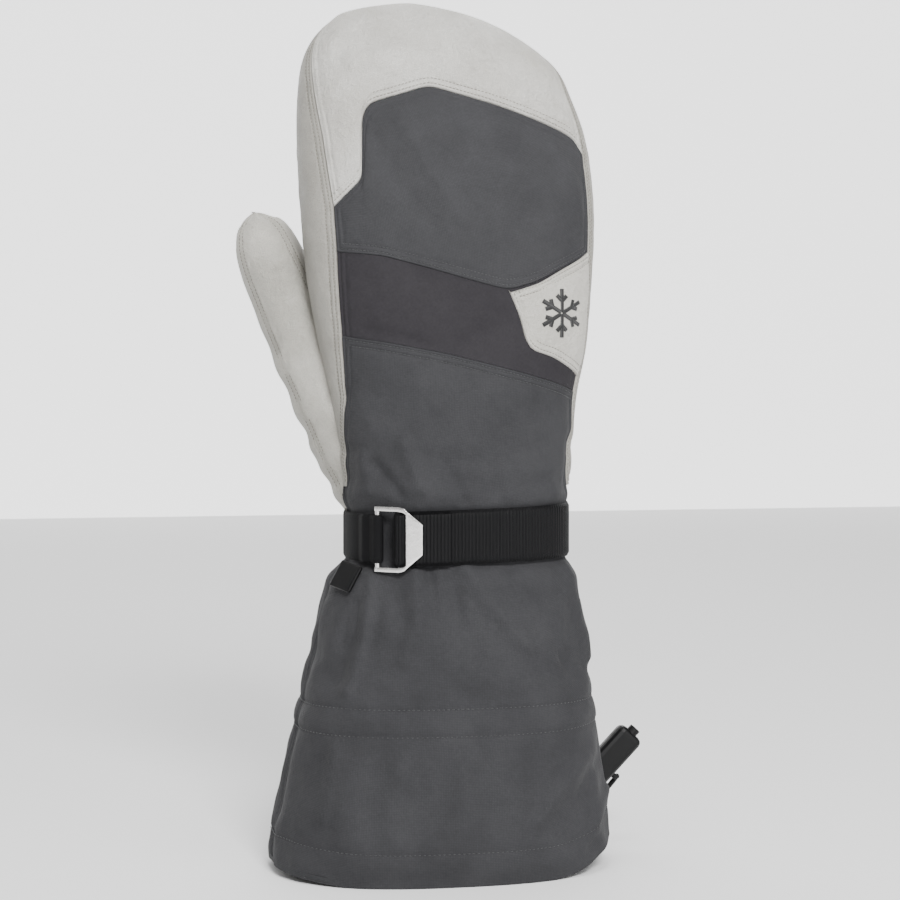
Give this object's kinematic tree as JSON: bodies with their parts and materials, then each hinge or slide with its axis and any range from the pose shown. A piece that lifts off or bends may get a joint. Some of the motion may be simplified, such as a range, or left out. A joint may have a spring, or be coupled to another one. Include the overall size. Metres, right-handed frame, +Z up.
{
  "type": "ski mitten",
  "caption": "Right-hand gauntlet ski mitten with leather palm and fingertips, softshell back, buckled wrist strap and one-hand drawcord toggle.",
  "frame": {"origin": "on the ground under the middle of the overall box, with the mitten standing on its hem", "axes": "+Z up from the hem to the fingertips, -Y the back of the hand, +Y the palm, -X the thumb"},
  "size_m": [0.1925, 0.108, 0.396],
  "materials": {
    "palm_leather": "satin",
    "patch_leather": "matte",
    "softshell": "matte",
    "band_fabric": "matte",
    "embroidery": "satin",
    "webbing": "matte",
    "twill_tape": "matte",
    "pull_tab_rubber": "satin",
    "aluminium": "polished",
    "membrane_film": "satin",
    "padding": "matte",
    "fleece": "matte",
    "elastic_tape": "matte",
    "cord_braid": "matte",
    "moulded_plastic": "satin",
    "spring_steel": "polished",
    "label_satin": "satin"
  },
  "bodies": {
    "root": {"palm_panel": "palm_leather", "fingertip_cap": "palm_leather", "knuckle_patch": "palm_leather", "thumb_back_panel": "palm_leather", "thumb_inner_panel": "palm_leather", "thumb_palm_panel": "palm_leather", "palm_reinforcement": "patch_leather", "back_upper_panel": "softshell", "back_lower_panel": "softshell", "knuckle_band": "band_fabric", "knuckle_emblem": "embroidery", "gauntlet_back_panel": "softshell", "gauntlet_palm_panel": "softshell", "hem_facing": "softshell", "wrist_elastic": "elastic_tape", "waterproof_membrane": "membrane_film", "thumb_membrane": "membrane_film", "back_insulation": "padding", "palm_insulation": "padding", "thumb_insulation": "padding", "hand_lining": "fleece", "thumb_lining": "fleece", "gauntlet_lining": "fleece", "care_label": "label_satin", "wrist_strap": "webbing", "buckle_tape": "twill_tape", "drawcord": "cord_braid", "eyelet": "aluminium", "toggle_tab": "twill_tape"},
    "buckle_link": {"buckle": "aluminium"},
    "pull_tab_link": {"pull_tab": "pull_tab_rubber"},
    "toggle": {"toggle_body": "moulded_plastic", "cord_end": "moulded_plastic"},
    "button": {"toggle_button": "moulded_plastic", "toggle_spring": "spring_steel"}
  },
  "joints": [
    {"name": "buckle_tilt", "type": "hinge", "parent": "root", "child": "buckle_link", "pos_m": [-0.0421, -0.03006, 0.153], "axis": [0, 0, -1], "range_deg": [0, 35], "deforming": ["wrist_strap"]},
    {"name": "pull_tab_swing", "type": "hinge", "parent": "root", "child": "pull_tab_link", "pos_m": [-0.05116, -0.01891, 0.14125], "axis": [-0.4822, 0.8592, 0.1708], "range_deg": [0, 60]},
    {"name": "toggle_swing", "type": "hinge", "parent": "root", "child": "toggle", "pos_m": [0.06954, 0.027, 0.029], "axis": [0, -1, 0], "range_deg": [-45, 8], "deforming": ["drawcord"]},
    {"name": "button_press", "type": "slide", "parent": "toggle", "child": "button", "axis": [-0.6947, 0, -0.7193], "range_m": [0, 0.0022], "stiffness_N_per_m": 400, "springref_m": -0.003, "deforming": ["toggle_spring"]}
  ]
}
